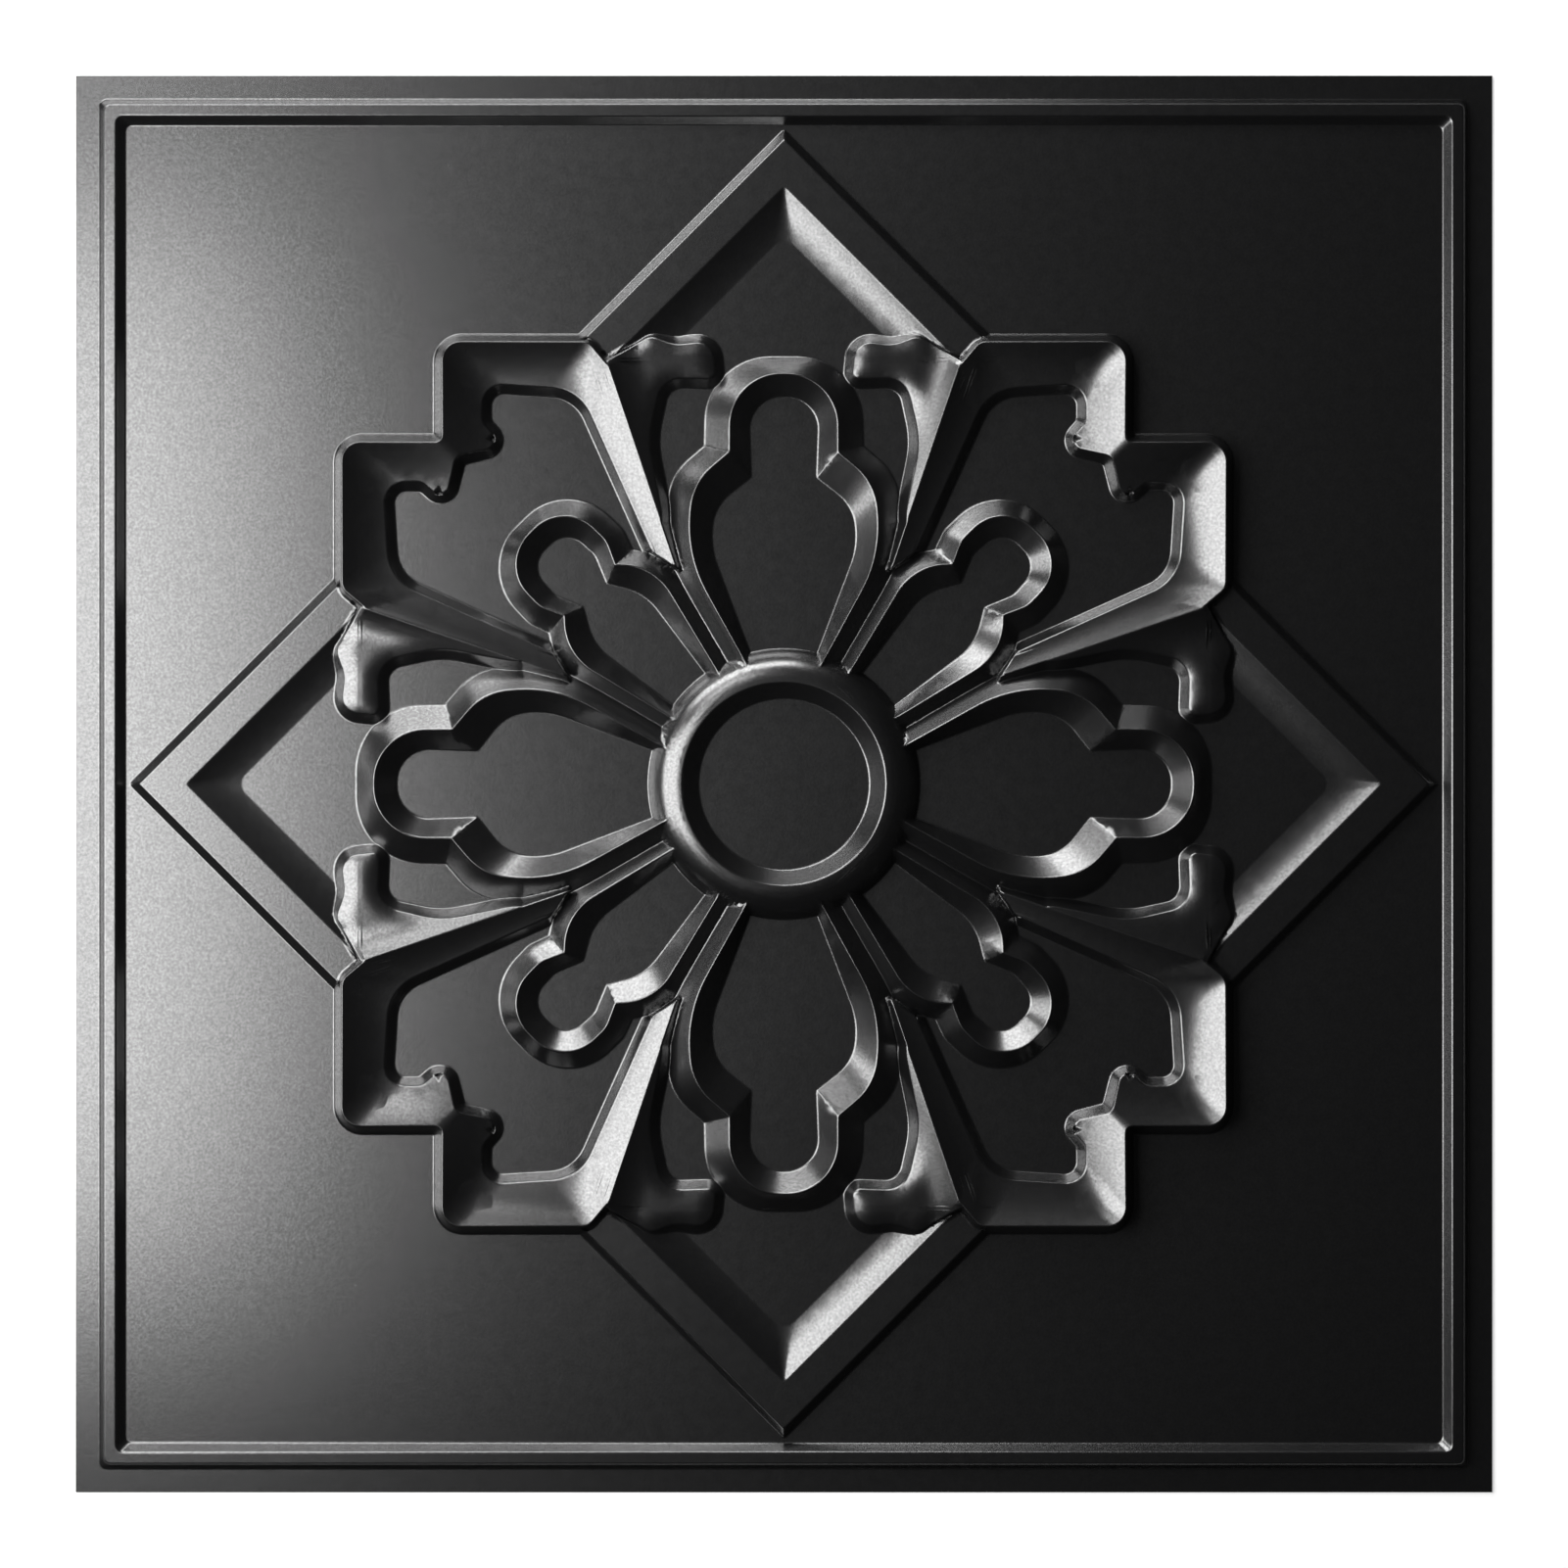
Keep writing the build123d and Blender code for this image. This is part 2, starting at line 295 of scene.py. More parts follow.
def both_sides(half):
    """Closed outline from its right half, mirrored about the Y axis."""
    return half + [(-x, y, radius) for x, y, radius in reversed(half)]


def both_halves(half):
    """Closed outline from the half above the diagonal, whose first corner lies on it."""
    return half + [(y, x, radius) for x, y, radius in reversed(half[1:])]


def turned(corners):
    """Outline turned from the Y axis onto the diagonal of the first quarter."""
    half = math.sqrt(0.5)
    return [(half * (x + y), half * (y - x), radius) for x, y, radius in corners]


def even(count):
    """Even whole number that is no smaller than count, and at least two."""
    return 2 * max(1, math.ceil(count / 2))


def corner_ends(corners):
    """Start and end of the arc at each corner."""
    ends = []
    for i, (x, y, radius) in enumerate(corners):
        arrive, leave = corner_turn(corners, i)
        angle = math.atan2(cross(arrive, leave), arrive @ leave)
        reach = radius * math.tan(abs(angle) / 2)
        here = np.array((x, y))
        ends.append((here - arrive * reach, here + leave * reach, angle, arrive))
    return ends


def arc_step(radius):
    """Angle of the longest straight piece that keeps to an arc within CURVE_ERROR."""
    return math.sqrt(8 * CURVE_ERROR / radius)


def run_places(run):
    """Shares of a run at which its points lie, closer together at its ends."""
    count = even(run / RUN_STEP)
    near = [step / run for step in END_STEPS if step < run * LONGEST_END]
    return sorted([k / count for k in range(count)] + near + [1 - share for share in near])


def divisions(*outlines):
    """Places along each run and pieces of each arc that suit all of a set of matching outlines."""
    pieces = []
    all_ends = [corner_ends(corners) for corners in outlines]
    for i in range(len(outlines[0])):
        run = max(np.linalg.norm(ends[i][0] - ends[i - 1][1]) for ends in all_ends)
        arc = 0
        for corners, ends in zip(outlines, all_ends):
            if corners[i][2] > 0:
                arc = max(arc, even(abs(ends[i][2]) / arc_step(corners[i][2])))
        pieces.append((run_places(run), arc))
    return pieces


def sampled(corners, pieces):
    """Points along a closed outline with rounded corners."""
    ends = corner_ends(corners)
    points = []
    for i, (runs, arcs) in enumerate(pieces):
        start, _, angle, arrive = ends[i]
        before = ends[i - 1][1]
        points += [before + (start - before) * share for share in runs]
        side = np.array((-arrive[1], arrive[0])) * math.copysign(corners[i][2], angle)
        spoke = -side
        for k in range(arcs):
            part = angle * k / arcs
            turn = np.array((spoke[0] * math.cos(part) - spoke[1] * math.sin(part),
                             spoke[0] * math.sin(part) + spoke[1] * math.cos(part)))
            points.append(start + side + turn)
    return np.array(points)


class Moulds:
    """Surfaces that the sheet is pressed over, with the lines where they crease."""

    def __init__(self):
        self.points = []
        self.triangles = []
        self.creases = []
        self.fill = []

    def band(self, lower, lower_z, upper, upper_z, closed):
        """Band of triangles between two matching lines of points."""
        first = len(self.points)
        count = len(lower)
        for line, heights in ((lower, lower_z), (upper, upper_z)):
            heights = np.broadcast_to(heights, count)
            self.points += [(x, y, z) for (x, y), z in zip(line, heights)]
        for i in range(count if closed else count - 1):
            j = (i + 1) % count
            a, b, c, d = first + i, first + j, first + count + j, first + count + i
            self.triangles += [(a, b, c), (a, c, d)]

    def slope(self, lower, lower_z, upper, upper_z, sag=0.0, rows=1, closed=True):
        """Slope from a lower line to an upper one, hollowed by sag."""
        line, height = lower, np.asarray(lower_z, dtype=float)
        for row in range(1, rows + 1):
            part = row / rows
            rise = (1 - sag) * part + sag * part ** 2
            next_line = lower + (upper - lower) * part
            next_height = lower_z + (np.asarray(upper_z) - lower_z) * rise
            self.band(line, height, next_line, next_height, closed)
            if row < rows:
                self.fill += list(next_line)
            line, height = next_line, next_height

    def patch(self, points, triangles):
        first = len(self.points)
        self.points += [tuple(point) for point in points]
        self.triangles += [tuple(first + int(k) for k in triangle) for triangle in triangles]

    def crease(self, *lines, closed=True):
        """Lines of points where the sheet bends."""
        self.creases += [(np.concatenate((line, line[:1])) if closed else line) for line in lines]

    def tree(self):
        return BVHTree.FromPolygons(self.points, self.triangles, all_triangles=True)


def add_base(moulds):
    """The flat of the sheet."""
    reach = 2 * HALF_SIDE
    moulds.patch([(-reach, -reach, 0), (reach, -reach, 0), (reach, reach, 0), (-reach, reach, 0)],
                 [(0, 1, 2), (0, 2, 3)])


def add_ridge(moulds, outlines, height, sag=0.0, rows=1):
    """Flat-topped ridge on four matching outlines, from its outer foot to its inner one."""
    pieces = divisions(*outlines)
    outer_foot, outer_top, inner_top, inner_foot = (sampled(line, pieces) for line in outlines)
    moulds.slope(outer_foot, 0.0, outer_top, height)
    moulds.slope(outer_top, height, inner_top, height)
    moulds.slope(inner_foot, 0.0, inner_top, height, sag=sag, rows=rows)
    moulds.crease(outer_foot, outer_top, inner_top, inner_foot)


def square(reach):
    """Corners of one outline of the bead."""
    return [(reach, -reach, BEAD_CORNER), (reach, reach, BEAD_CORNER), (-reach, reach, BEAD_CORNER),
            (-reach, -reach, BEAD_CORNER)]


def add_bead(moulds, sheet):
    reaches = (BEAD_OUTER_FOOT, BEAD_OUTER_TOP, BEAD_INNER_TOP, BEAD_INNER_FOOT)
    add_ridge(moulds, [square(reach) for reach in reaches], sheet.bead_height)


def diamond_point(reach, radius):
    """One point of the diamond, down to where the frame covers it."""
    across = reach - DIAMOND_END
    return [(0, reach, radius), (-across, DIAMOND_END, 0), (across, DIAMOND_END, 0)]


def add_diamond(moulds, sheet):
    outlines = [diamond_point(reach, radius) for reach, radius in (
        (DIAMOND_OUTER_FOOT, DIAMOND_CORNER), (DIAMOND_OUTER_TOP, DIAMOND_CORNER),
        (DIAMOND_INNER_TOP, DIAMOND_CORNER), (DIAMOND_INNER_FOOT, DIAMOND_COVE_CORNER))]
    add_ridge(moulds, outlines, sheet.diamond_height, sag=sheet.sag, rows=DIAMOND_COVE_ROWS)


def add_petal(moulds, inner, crest, outer, height):
    outlines = (inner, crest, outer)
    pieces = divisions(*outlines)
    inner_line, crest_line, outer_line = (sampled(line, pieces) for line in outlines)
    moulds.slope(inner_line, 0.0, crest_line, height)
    moulds.slope(outer_line, 0.0, crest_line, height)
    moulds.crease(inner_line, crest_line, outer_line)
    return crest_line


def add_petals(moulds, sheet):
    """Long petals on the axes and short ones on the diagonals; gives the short one's crest line."""
    add_petal(moulds, both_sides(LONG_PETAL_INNER), both_sides(LONG_PETAL_CREST),
              both_sides(LONG_PETAL_OUTER), sheet.long_petal_height)
    return add_petal(moulds, turned(both_sides(SHORT_PETAL_INNER)),
                     turned(both_sides(SHORT_PETAL_CREST)), turned(both_sides(SHORT_PETAL_OUTER)),
                     sheet.short_petal_height)


def crest_heights(points, sheet):
    """Height of the frame's crest, which rises evenly along the diagonal."""
    along = np.asarray(points).sum(axis=-1)
    notch, tip = sum(ARM_NOTCH), sum(ARM_TIP)
    return sheet.tip_height + (sheet.notch_height - sheet.tip_height) * (along - tip) / (notch - tip)


def upper_half(corners, pieces):
    """Points of an outline from the diagonal round to where its arm ends."""
    start = len(pieces[0][0]) + pieces[0][1] // 2
    end = sum(len(runs) + arcs for runs, arcs in pieces[:(len(corners) + 1) // 2])
    return sampled(corners, pieces)[start:end + 1]


def add_frame(moulds, sheet):
    """Frame of one quarter: a wall and a hollow cove."""
    outline = both_halves(FRAME_OUTLINE)
    outlines = (grown(outline, FRAME_WALL / 2), grown(outline, -FRAME_WALL / 2),
                grown(both_halves(FRAME_COVE), OPENING_WALL / 2 - COVE_OVERRUN))
    pieces = divisions(*outlines)
    foot, crest, cove = (upper_half(line, pieces) for line in outlines)
    heights = crest_heights(crest, sheet)
    moulds.slope(foot, 0.0, crest, heights, closed=False)
    moulds.slope(cove, sheet.step_height, crest, heights, sag=sheet.sag, rows=FRAME_COVE_ROWS,
                 closed=False)
    moulds.crease(foot, crest, closed=False)


def add_opening(moulds, framing, sheet):
    """Step down from the frame's cove into its opening; gives the opening's upper outline."""
    opening = both_halves(FRAME_OPENING)
    steps = (grown(opening, -OPENING_WALL / 2), grown(opening, OPENING_WALL / 2))
    pieces = divisions(*steps)
    foot, top = (upper_half(line, pieces) for line in steps)
    cove = framing.tree()
    heights = []
    for x, y in top:
        found = cove.ray_cast((x, y, ABOVE_ALL), (0, 0, -1))[0]
        heights.append(sheet.step_height if found is None else max(found.z, sheet.step_height))
    moulds.slope(foot, 0.0, top, np.array(heights), closed=False)
    moulds.crease(foot, top, closed=False)
    return sampled(steps[1], pieces)


def inside(points, line):
    """Which points lie inside a closed line."""
    x, y = points[:, :1], points[:, 1:]
    ax, ay = line[:, 0], line[:, 1]
    bx, by = np.roll(ax, -1), np.roll(ay, -1)
    spans = (ay > y) != (by > y)
    with np.errstate(divide="ignore", invalid="ignore"):
        meets = x < (bx - ax) * (y - ay) / (by - ay) + ax
    return (spans & meets).sum(axis=1) % 2 == 1


def distance(points, line):
    """Distance of each point from a closed line."""
    run = np.roll(line, -1, axis=0) - line
    offset = points[:, None, :] - line[None, :, :]
    part = np.clip((offset * run).sum(axis=2) / (run * run).sum(axis=1), 0, 1)
    return np.linalg.norm(offset - part[:, :, None] * run, axis=2).min(axis=1)


def triangulated(points, edges, kind, merge):
    """Points and triangles in plan, through given points and along given edges."""
    found = delaunay_2d_cdt(points, edges, [], kind, merge)
    return np.array([tuple(point) for point in found[0]]), found[2]


def filled(line, points=(), edges=()):
    """Triangles in plan that fill a closed line, through points and edges inside it."""
    count = len(line)
    every = [tuple(p) for p in line] + [tuple(p) for p in points]
    kept = [(i, (i + 1) % count) for i in range(count)] + [(a + count, b + count) for a, b in edges]
    return triangulated(every, kept, INSIDE_EDGES, MOULD_MERGE)


def scroll_heights(points, rim, sheet):
    """Height of a scroll: domed at its edge, hollow towards the ridge of the arm."""
    along = np.array(ARM_NOTCH) - np.array(ARM_TIP)
    along /= np.linalg.norm(along)
    across = np.array((-along[1], along[0]))
    away = (points - np.array(ARM_TIP)) @ across
    ridge = crest_heights(points, sheet)
    near = np.clip(1 - away / SCROLL_COVE_WIDTH, 0, 1)
    edge = np.clip(distance(points, rim) / SCROLL_EDGE_WIDTH, 0, 1)
    heights = sheet.step_height + (ridge - sheet.step_height) * near ** 2
    heights += sheet.dome_height * (1 - (1 - edge) ** 2) * (1 - near)
    return np.where(away < 0, ridge + RIDGE_BACK_SLOPE * away, heights)


def add_scroll(moulds, sheet):
    outlines = (grown(SCROLL_OUTLINE, SCROLL_WALL / 2), grown(SCROLL_OUTLINE, -SCROLL_WALL / 2))
    pieces = divisions(*outlines)
    foot, rim = (sampled(line, pieces) for line in outlines)
    moulds.slope(foot, 0.0, rim, scroll_heights(rim, rim, sheet))
    low, high = rim.min(axis=0), rim.max(axis=0)
    grid = np.stack(np.meshgrid(np.arange(low[0], high[0], SCROLL_GRID),
                                np.arange(low[1], high[1], SCROLL_GRID)), axis=-1).reshape(-1, 2)
    grid = grid[inside(grid, rim)]
    grid = grid[distance(grid, rim) > SCROLL_GRID / 2]
    ridge = np.linspace(ARM_TIP, ARM_NOTCH, RIDGE_POINTS)
    ridge = ridge[inside(ridge, rim)]
    edges = [(i + len(grid), i + 1 + len(grid)) for i in range(len(ridge) - 1)]
    plan, triangles = filled(rim, np.concatenate((grid, ridge)), edges)
    heights = scroll_heights(plan, rim, sheet)
    moulds.patch(np.column_stack((plan, heights)), triangles)
    moulds.crease(foot, rim)
    moulds.crease(ridge, closed=False)
    moulds.fill += list(grid)


def add_ring(moulds, sheet):
    """Disc and ring, turned about the middle of the panel."""
    width = RING_FOOT_RADIUS - RING_LIP_RADIUS
    radius = (width ** 2 + sheet.ring_height ** 2) / (2 * sheet.ring_height)
    sweep = math.asin(min(1.0, width / radius))
    dome = []
    for k in range(RING_ROWS + 1):
        part = sweep * k / RING_ROWS
        dome.append((RING_LIP_RADIUS + radius * math.sin(part),
                     sheet.ring_height - radius * (1 - math.cos(part))))
    profile = [(0.0, sheet.disc_height), (DISC_RADIUS, sheet.disc_height)] + dome
    count = even(2 * math.pi / arc_step(RING_FOOT_RADIUS) / EIGHTHS) * EIGHTHS
    angles = np.arange(count) * 2 * math.pi / count
    circle = np.column_stack((np.cos(angles), np.sin(angles)))
    for (inner, inner_z), (outer, outer_z) in zip(profile, profile[1:]):
        moulds.slope(circle * inner, inner_z, circle * outer, outer_z)
    moulds.crease(circle * DISC_RADIUS, circle * RING_LIP_RADIUS, circle * RING_FOOT_RADIUS)
    for reach, _ in dome[1:-1]:
        moulds.fill += list(circle * reach)


def folded(x, y):
    """The point of the first eighth that a point of the panel repeats."""
    x, y = abs(x), abs(y)
    return (x, y) if x <= y else (y, x)


def press_pattern(radius):
    """Offsets and weights of the small disc over which the sheet rounds the moulds."""
    offsets = [(0.0, 0.0)]
    for ring in range(1, PRESS_RINGS + 1):
        count = PRESS_POINTS * ring
        reach = radius * ring / PRESS_RINGS
        for k in range(count):
            angle = 2 * math.pi * (k + 0.5 * (ring % 2)) / count
            offsets.append((reach * math.cos(angle), reach * math.sin(angle)))
    offsets = np.array(offsets)
    weights = (1 - (offsets ** 2).sum(axis=1) / (PRESS_END * radius) ** 2) ** 2
    return offsets, weights / weights.sum()


class Press:
    """Height and tilt of the sheet over two sets of moulds, the second left out over the gaps."""

    def __init__(self, first, second, gaps, bend):
        self.trees = first.tree(), second.tree()
        flat = Moulds()
        for line in gaps:
            plan, triangles = filled(line)
            flat.patch(np.column_stack((plan, np.zeros(len(plan)))), triangles)
        self.gap = flat.tree()
        self.offsets, self.weights = press_pattern(bend)
        self.spread = (self.weights * self.offsets[:, 0] ** 2).sum()

    def touch(self, x, y):
        """Height of the highest mould under a point."""
        x, y = folded(x, y)
        above, down = (x, y, ABOVE_ALL), (0, 0, -1)
        height = self.trees[0].ray_cast(above, down)[0].z
        if self.gap.ray_cast(above, down)[0] is None:
            other = self.trees[1].ray_cast(above, down)[0]
            if other is not None:
                height = max(height, other.z)
        return height

    def sheet(self, points):
        """Heights of the pressed sheet, and its rise along X and Y."""
        result = np.empty((len(points), 3))
        for i, (x, y) in enumerate(points):
            heights = np.array([self.touch(x + dx, y + dy) for dx, dy in self.offsets])
            pull = self.weights * heights
            result[i] = (pull.sum(), (pull * self.offsets[:, 0]).sum() / self.spread,
                         (pull * self.offsets[:, 1]).sum() / self.spread)
        return result


class PlanPoints:
    """Points of one eighth of the sheet in plan, none too close to another."""

    def __init__(self):
        self.points = []
        self.cells = {}

    def cell(self, x, y):
        return int(x / CLOSEST_POINTS), int(y / CLOSEST_POINTS)

    def near(self, x, y):
        """Index of a point that lies too close, or None."""
        cx, cy = self.cell(x, y)
        for i in (-1, 0, 1):
            for j in (-1, 0, 1):
                for k in self.cells.get((cx + i, cy + j), ()):
                    px, py = self.points[k]
                    if (px - x) ** 2 + (py - y) ** 2 < CLOSEST_POINTS ** 2:
                        return k
        return None

    def add(self, x, y):
        """Index of the point, or None where it lies outside the eighth."""
        if x < -EDGE_SLACK or x > y + EDGE_SLACK or y > HALF_SIDE + EDGE_SLACK:
            return None
        if x < SNAP:
            x = 0.0
        if y - x < SNAP:
            x = y = (x + y) / 2
        found = self.near(x, y)
        if found is None:
            found = len(self.points)
            self.points.append((x, y))
            self.cells.setdefault(self.cell(x, y), []).append(found)
        return found


def on_diagonal(x, y):
    return abs(x - y) < ON_DIAGONAL


def shifted(line, shift):
    """A line of points moved sideways."""
    along = np.gradient(line, axis=0)
    if np.allclose(line[0], line[-1]):
        along[0] = along[-1] = line[1] - line[-2]
    elif on_diagonal(*line[0]):
        along[0] = (-1, 1)
    along /= np.linalg.norm(along, axis=1)[:, None]
    return line + np.column_stack((-along[:, 1], along[:, 0])) * shift


def crease_edges(plan, creases, rows):
    """Adds points along the creases and in rows beside them, and gives the edges that join them."""
    edges = set()
    for row in (0.0,) + rows:
        for side in ((-1, 1) if row else (1,)):
            for line in creases:
                indices = [plan.add(x, y) for x, y in shifted(line, side * row)]
                for a, b in zip(indices, indices[1:]):
                    if a is not None and b is not None and a != b:
                        edges.add((min(a, b), max(a, b)))
    return sorted(edges)


def guard_diagonal(plan, creases, press):
    """Adds points on the diagonal, in the flats beside the creases, to keep the bends narrow."""
    for line in creases:
        for x, y in (line[0], line[-1]):
            if on_diagonal(x, y):
                guards = np.array([(x + k, y + k) for k in CORNER_GUARDS])
                level = np.abs(press.sheet(guards)[:, 1:]).max(axis=1) < FLAT_RISE
                for guard in guards[level]:
                    plan.add(*guard)


def refine(plan, edges, press):
    """Adds a point to the middle of each long side that strays from the moulds."""
    points, triangles = triangulated(plan.points, edges, WHOLE_HULL, PLAN_MERGE)
    heights = np.array([press.touch(x, y) for x, y in points])
    sides = {tuple(sorted((each[i], each[i - 1]))) for each in triangles for i in range(3)}
    sides = np.array(sorted(sides))
    ends = points[sides]
    sides = sides[np.linalg.norm(ends[:, 0] - ends[:, 1], axis=1) > REFINE_LENGTH]
    for (x, y), level in zip(points[sides].mean(axis=1), heights[sides].mean(axis=1)):
        if abs(press.touch(x, y) - level) > REFINE_ERROR:
            plan.add(x, y)


def plan_mesh(creases, fill, press, rows, rounds):
    """Points and triangles of one eighth of the sheet in plan."""
    plan = PlanPoints()
    for corner in ((0, 0), (0, HALF_SIDE), (HALF_SIDE, HALF_SIDE)):
        plan.add(*corner)
    edges = crease_edges(plan, creases, rows)
    guard_diagonal(plan, creases, press)
    for point in fill:
        plan.add(*point)
    for _ in range(rounds):
        refine(plan, edges, press)
    return triangulated(plan.points, edges, WHOLE_HULL, PLAN_MERGE)


def apply_modifier(piece, kind, **settings):
    """Adds a modifier with its settings and applies it."""
    bpy.context.view_layer.objects.active = piece
    modifier = piece.modifiers.new(kind.title(), kind)
    for name, value in settings.items():
        setattr(modifier, name, value)
    bpy.ops.object.modifier_apply(modifier=modifier.name)


def select_only(piece):
    bpy.ops.object.select_all(action="DESELECT")
    piece.select_set(True)
    bpy.context.view_layer.objects.active = piece


def diagonal_mirror():
    """Empty whose X axis crosses the diagonal of the panel."""
    bpy.ops.object.empty_add(rotation=(0, 0, -math.pi / 4))
    return bpy.context.object


class Side:
    """Front or back of one eighth of the sheet."""

    def __init__(self, press, plan, triangles):
        self.plan = plan
        self.triangles = triangles
        form = press.sheet(plan)
        self.heights = form[:, 0]
        self.rise = form[:, 1:]

    def edge(self):
        """Indices of the points on the outer edge, along X."""
        on_edge = np.flatnonzero(self.plan[:, 1] > HALF_SIDE - EDGE_SLACK)
        return [int(k) for k in on_edge[np.argsort(self.plan[on_edge, 0])]]


def scaled(rows, bend):
    """Distances of rows of points from a crease."""
    return tuple(row * bend for row in rows)


def eighth_of_sheet(front, back, thickness):
    """Front, back and rim of one eighth of the sheet, as a new object."""
    count = len(front.plan)
    upright = np.minimum(np.sqrt(1 + (back.rise ** 2).sum(axis=1)), THICKEST)
    under = np.maximum(back.heights + thickness - thickness * upright, 0.0)
    points = np.concatenate((np.column_stack((front.plan, front.heights + thickness)),
                             np.column_stack((back.plan, under))))
    faces = [list(triangle) for triangle in front.triangles]
    faces += [[k + count for k in reversed(triangle)] for triangle in back.triangles]
    upper, lower = front.edge(), [k + count for k in back.edge()]
    for a, b, c, d in zip(upper, upper[1:], lower, lower[1:]):
        faces += [[a, b, c], [c, b, d]]
    mesh = bpy.data.meshes.new("formed_sheet")
    mesh.from_pydata((points * MM).tolist(), [], faces)
    piece = bpy.data.objects.new("formed_sheet", mesh)
    bpy.context.collection.objects.link(piece)
    return piece


def facing(places, side):
    """Direction of the sheet at points of the whole panel, from one side of its eighth."""
    finder = KDTree(len(side.plan))
    for k, (x, y) in enumerate(side.plan):
        finder.insert((x, y, 0), k)
    finder.balance()
    nearest = [finder.find((*folded(x, y), 0))[1] for x, y in places]
    rise = side.rise[nearest]
    swapped = np.abs(places[:, 0]) > np.abs(places[:, 1])
    rise[swapped] = rise[swapped][:, ::-1]
    rise *= np.where(places < 0, -1, 1)
    normals = np.column_stack((-rise, np.ones(len(rise))))
    return normals / np.linalg.norm(normals, axis=1)[:, None]


def smooth_over(piece, front, back):
    """Gives each corner of each face the direction of the sheet there, so that bends look round."""
    mesh = piece.data
    places = np.empty(len(mesh.vertices) * 3)
    mesh.vertices.foreach_get("co", places)
    places = places.reshape(-1, 3)[:, :2] / MM
    flat = np.empty(len(mesh.polygons) * 3)
    mesh.polygons.foreach_get("normal", flat)
    flat = np.repeat(flat.reshape(-1, 3), 3, axis=0)
    corner = np.empty(len(mesh.loops), dtype=int)
    mesh.loops.foreach_get("vertex_index", corner)
    normals = flat.copy()
    above, below = flat[:, 2] > RIM_TILT, flat[:, 2] < -RIM_TILT
    normals[above] = facing(places[corner[above]], front)
    normals[below] = -facing(places[corner[below]], back)
    mesh.normals_split_custom_set(normals.tolist())


class PANEL_OT_press_sheet(bpy.types.Operator):
    """Press the sheet over the moulds and give it its finish"""
    bl_idname = "panel.press_sheet"
    bl_label = "Press the sheet"

    def execute(self, context):
        sheet = context.scene.panel_sheet
        flower, framing = Moulds(), Moulds()
        add_base(flower)
        add_bead(flower, sheet)
        add_diamond(flower, sheet)
        petal = add_petals(flower, sheet)
        add_ring(flower, sheet)
        add_frame(framing, sheet)
        opening = add_opening(flower, framing, sheet)
        add_scroll(framing, sheet)
        press = Press(flower, framing, (petal, opening), sheet.bend)
        creases = flower.creases + framing.creases
        fill = flower.fill + framing.fill
        front_rows, back_rows = scaled(FRONT_ROWS, sheet.bend), scaled(BACK_ROWS, sheet.bend)
        front = Side(press, *plan_mesh(creases, fill, press, front_rows, REFINE_ROUNDS))
        back = Side(press, *plan_mesh(creases, [], press, back_rows, 0))
        piece = eighth_of_sheet(front, back, sheet.thickness)
        select_only(piece)
        across = diagonal_mirror()
        apply_modifier(piece, "MIRROR", mirror_object=across, merge_threshold=MIRROR_MERGE)
        bpy.data.objects.remove(across)
        apply_modifier(piece, "MIRROR", use_axis=(True, True, False), merge_threshold=MIRROR_MERGE)
        select_only(piece)
        bpy.ops.object.shade_smooth()
        smooth_over(piece, front, back)
        piece.data.materials.append(sheet_material(sheet))
        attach(piece, "root")
        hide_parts("panel")
        return {"FINISHED"}


class Signal:
    """A shader socket that takes part in arithmetic, each step a Math node."""

    def __init__(self, tree, socket):
        self.tree = tree
        self.socket = socket

    @classmethod
    def node(cls, tree, kind, output=0, settings=None, sockets=None):
        """Output of a new node, with its settings made and values or signals put in its sockets."""
        made = tree.nodes.new(kind)
        for name, value in (settings or {}).items():
            setattr(made, name, value)
        for name, value in (sockets or {}).items():
            if isinstance(value, Signal):
                value.feed(made.inputs[name])
            else:
                made.inputs[name].default_value = value
        return cls(tree, made.outputs[output])

    def reckon(self, operation, first, second):
        """Output of a Math node."""
        return Signal.node(self.tree, "ShaderNodeMath", settings={"operation": operation},
                           sockets={0: first, 1: second})

    def __add__(self, other):
        return self.reckon("ADD", self, other)

    def __radd__(self, other):
        return self.reckon("ADD", other, self)

    def __sub__(self, other):
        return self.reckon("SUBTRACT", self, other)

    def __rsub__(self, other):
        return self.reckon("SUBTRACT", other, self)

    def __mul__(self, other):
        return self.reckon("MULTIPLY", self, other)

    def __rmul__(self, other):
        return self.reckon("MULTIPLY", other, self)

    def feed(self, socket):
        self.tree.links.new(self.socket, socket)


def new_material(name, colour):
    """A material with its node tree and its main shader."""
    material = bpy.data.materials.new(name)
    material.use_nodes = True
    shader = material.node_tree.nodes["Principled BSDF"]
    shader.inputs["Base Color"].default_value = (*colour, 1)
    return material, material.node_tree, shader


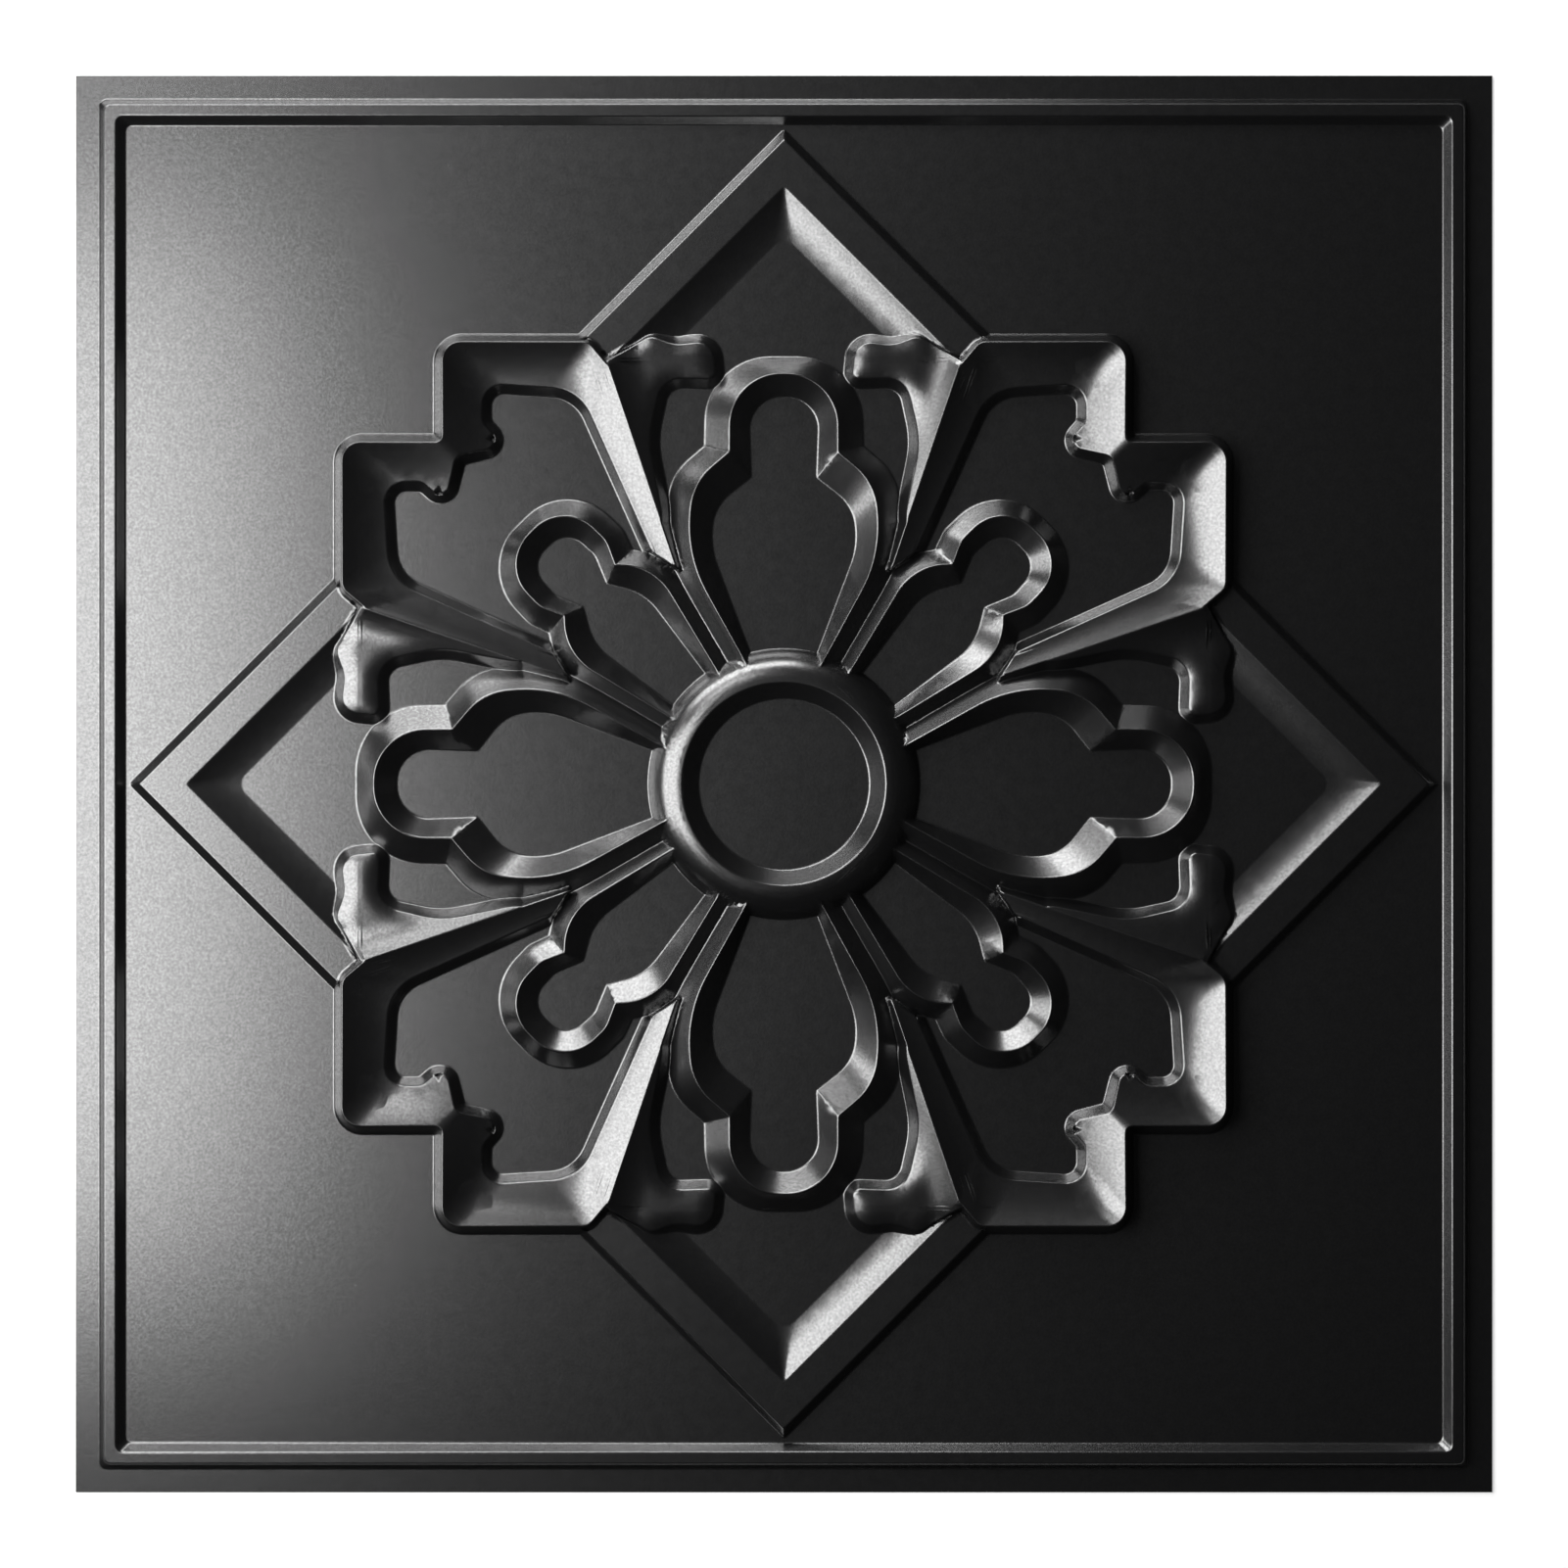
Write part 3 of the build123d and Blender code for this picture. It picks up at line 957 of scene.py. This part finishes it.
def sheet_material(sheet):
    """Satin black plastic with a fine grain."""
    material, tree, shader = new_material("satin_black_plastic", sheet.colour)
    shader.inputs["Specular IOR Level"].default_value = sheet.gloss
    shader.inputs["Coat Roughness"].default_value = sheet.coat_roughness
    place = Signal.node(tree, "ShaderNodeTexCoord", "Object")
    grain = Signal.node(tree, "ShaderNodeTexNoise", sockets={
        "Scale": 1 / (sheet.grain * MM), "Detail": GRAIN_DETAIL, "Vector": place})
    bump = Signal.node(tree, "ShaderNodeBump", sockets={
        "Strength": 1.0, "Distance": sheet.grain_depth * MM, "Height": grain})
    bump.feed(shader.inputs["Normal"])
    coat = sheet.coat + (grain - NOISE_MIDDLE) * sheet.speckle
    coat.feed(shader.inputs["Coat Weight"])
    mottle = Signal.node(tree, "ShaderNodeTexNoise", sockets={
        "Scale": 1 / (sheet.mottle * MM), "Detail": MOTTLE_DETAIL, "Vector": place})
    roughness = sheet.roughness + (mottle - NOISE_MIDDLE) * sheet.mottle_depth
    roughness.feed(shader.inputs["Roughness"])
    return material


def floor_material(stage):
    """Pale floor that looks white to the camera and keeps a shadow."""
    material, tree, shader = new_material("pale_floor", stage.floor)
    shader.inputs["Roughness"].default_value = 1.0
    shader.inputs["Specular IOR Level"].default_value = 0.0
    shader.inputs["Emission Strength"].default_value = 1.0
    glow = Signal.node(tree, "ShaderNodeLightPath", "Is Camera Ray") * stage.glow
    glow.feed(shader.inputs["Emission Color"])
    return material


def even_world(stage):
    """World that gives a little light from all round and looks white to the camera."""
    world = bpy.data.worlds.new("even_light")
    world.use_nodes = True
    tree = world.node_tree
    seen = Signal.node(tree, "ShaderNodeLightPath", "Is Camera Ray")
    colour = stage.ambient + seen * (1 - stage.ambient)
    colour.feed(tree.nodes["Background"].inputs["Color"])
    return world


def hang_lamp(name, place, target, width, height, power):
    """Soft rectangular lamp turned towards a target."""
    bpy.ops.object.light_add(type="AREA", location=place)
    lamp = bpy.context.object
    lamp.name = name
    lamp.data.shape = "RECTANGLE"
    lamp.data.size = width
    lamp.data.size_y = height
    lamp.data.energy = power
    lamp.rotation_euler = (Vector(target) - Vector(place)).to_track_quat("-Z", "Y").to_euler()


class PANEL_OT_set_stage(bpy.types.Operator):
    """Lay the floor, hang the lamps and set the camera above the panel"""
    bl_idname = "panel.set_stage"
    bl_label = "Set the stage"

    def execute(self, context):
        stage = context.scene.panel_stage
        scene = context.scene
        scene.view_settings.view_transform = "Standard"
        bpy.ops.object.select_all(action="DESELECT")
        bpy.ops.mesh.primitive_plane_add(size=FLOOR_SIZE, location=(0, 0, -FLOOR_DROP))
        floor = context.object
        floor.name = "floor"
        bpy.ops.object.transform_apply(location=True)
        floor.data.materials.append(floor_material(stage))
        scene.world = even_world(stage)
        hang_lamp("side_lamp", stage.side_place, stage.side_target, stage.side_width, stage.side_height,
                  stage.side_power)
        hang_lamp("top_lamp", stage.top_place, stage.top_target, stage.top_width, stage.top_height,
                  stage.top_power)
        hang_lamp("corner_lamp", stage.corner_place, stage.top_target, stage.corner_size,
                  stage.corner_size, stage.corner_power)
        bpy.ops.object.camera_add(location=(0, 0, stage.camera_height))
        scene.camera = context.object
        scene.camera.data.angle = 2 * math.atan(stage.view_width / 2 / stage.camera_height)
        return {"FINISHED"}


class PANEL_PT_sidebar(bpy.types.Panel):
    """Buttons and sizes of the panel"""
    bl_label = "Formed panel"
    bl_space_type = "VIEW_3D"
    bl_region_type = "UI"
    bl_category = "Panel"

    def draw(self, context):
        for group in (context.scene.panel_sheet, context.scene.panel_stage):
            for name in group.__annotations__:
                self.layout.prop(group, name)
        for operator in (PANEL_OT_press_sheet, PANEL_OT_set_stage):
            self.layout.operator(operator.bl_idname)


CLASSES = (PanelSheet, PanelStage, PANEL_OT_press_sheet, PANEL_OT_set_stage, PANEL_PT_sidebar)


def register():
    for each in CLASSES:
        bpy.utils.register_class(each)
    bpy.types.Scene.panel_sheet = bpy.props.PointerProperty(type=PanelSheet)
    bpy.types.Scene.panel_stage = bpy.props.PointerProperty(type=PanelStage)


def unregister():
    del bpy.types.Scene.panel_stage
    del bpy.types.Scene.panel_sheet
    for each in reversed(CLASSES):
        bpy.utils.unregister_class(each)


def main():
    register()
    bpy.ops.panel.press_sheet()
    bpy.ops.panel.set_stage()


if __name__ == "__main__":
    main()
